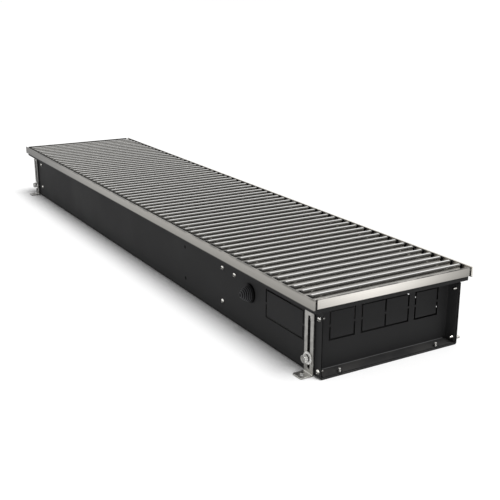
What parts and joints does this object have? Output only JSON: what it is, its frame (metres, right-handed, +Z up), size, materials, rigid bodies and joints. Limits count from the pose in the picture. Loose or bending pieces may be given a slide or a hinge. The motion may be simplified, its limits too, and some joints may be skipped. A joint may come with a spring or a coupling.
{
  "type": "trench convector heater",
  "caption": "Floor trench convector: long sheet-metal trough with cross-bar grille, tangential fan, fin-and-tube exchanger and four height-adjustable clamp feet.",
  "frame": {"origin": "on the floor under the middle of the footprint", "axes": "X along the trench with the connection bay at +X, Y across it with the fan and cable grommet at -Y, Z up"},
  "size_m": [1.2, 0.27, 0.111],
  "materials": {
    "powder_coat_dark": "matte charcoal powder coat on sheet steel",
    "powder_coat_black": "matte black coating on sheet steel",
    "frame_aluminium": "brushed, anodised in a warm natural tone",
    "bar_aluminium": "natural anodised",
    "fin_aluminium": "thin sheet, dark lacquer",
    "zinc_steel": "zinc-plated steel",
    "shaft_steel": "ground steel",
    "copper": "drawn copper tube",
    "brass": "machined brass",
    "plated_brass": "nickel-plated brass",
    "black_plastic": "moulded black plastic",
    "dark_plastic": "moulded dark grey plastic",
    "light_plastic": "moulded light plastic",
    "black_rubber": "matte black rubber"
  },
  "bodies": {
    "casing": {"tray": "powder_coat_dark", "end_plate_near": "powder_coat_dark", "end_plate_far": "powder_coat_dark", "end_plate_screws": "zinc_steel", "floor_studs": "zinc_steel", "floor_clips": "zinc_steel", "frame_side_front": "frame_aluminium", "frame_side_back": "frame_aluminium", "frame_end_near": "frame_aluminium", "frame_end_far": "frame_aluminium", "frame_rivets": "zinc_steel", "rest_strips": "black_rubber", "bulkhead_near": "powder_coat_black", "bulkhead_far": "powder_coat_black", "bulkhead_screws": "zinc_steel", "exchanger_fins": "fin_aluminium", "exchanger_tubes": "copper", "return_bends": "copper", "exchanger_brackets": "powder_coat_black", "collectors": "brass", "pipe_unions": "plated_brass", "air_vents": "plated_brass", "fan_plate_near": "powder_coat_black", "fan_plate_middle": "powder_coat_black", "fan_plate_far": "powder_coat_black", "fan_plate_screws": "powder_coat_black", "fan_rear_wall": "powder_coat_black", "fan_tongue": "powder_coat_black", "fan_motor": "powder_coat_black", "motor_screws": "zinc_steel", "shaft_bearings": "black_rubber", "lead_grommet": "black_rubber", "junction_box_base": "dark_plastic", "junction_box_cover": "dark_plastic", "junction_box_screws": "zinc_steel", "terminal_block": "light_plastic", "box_glands": "black_plastic", "box_mount_screw": "zinc_steel", "cable_grommet": "black_rubber", "foot_studs": "zinc_steel", "foot_washers": "zinc_steel", "foot_nuts": "zinc_steel", "guide_screws": "zinc_steel"},
    "grille": {"grille_bars": "bar_aluminium", "bar_end_caps": "black_plastic", "link_rods": "bar_aluminium", "spacer_sleeves": "black_plastic", "rod_retainers": "zinc_steel"},
    "fan_rotor": {"fan_shaft": "shaft_steel", "impeller_near": "fin_aluminium", "impeller_far": "fin_aluminium"},
    "foot_near_front": {"foot_bracket_near_front": "zinc_steel"},
    "foot_near_back": {"foot_bracket_near_back": "zinc_steel"},
    "foot_far_front": {"foot_bracket_far_front": "zinc_steel"},
    "foot_far_back": {"foot_bracket_far_back": "zinc_steel"}
  },
  "joints": [
    {"name": "grille_lift", "type": "slide", "parent": "casing", "child": "grille", "axis": [0, 0, 1], "range_m": [0, 0.15]},
    {"name": "fan_spin", "type": "hinge", "parent": "casing", "child": "fan_rotor", "pos_m": [0, -0.058, 0.047], "axis": [1, 0, 0], "continuous": true},
    {"name": "foot_near_front_height", "type": "slide", "parent": "casing", "child": "foot_near_front", "axis": [0, 0, -1], "range_m": [-0.005, 0.05]},
    {"name": "foot_near_back_height", "type": "slide", "parent": "casing", "child": "foot_near_back", "axis": [0, 0, -1], "range_m": [-0.005, 0.05]},
    {"name": "foot_far_front_height", "type": "slide", "parent": "casing", "child": "foot_far_front", "axis": [0, 0, -1], "range_m": [-0.005, 0.05]},
    {"name": "foot_far_back_height", "type": "slide", "parent": "casing", "child": "foot_far_back", "axis": [0, 0, -1], "range_m": [-0.005, 0.05]}
  ]
}
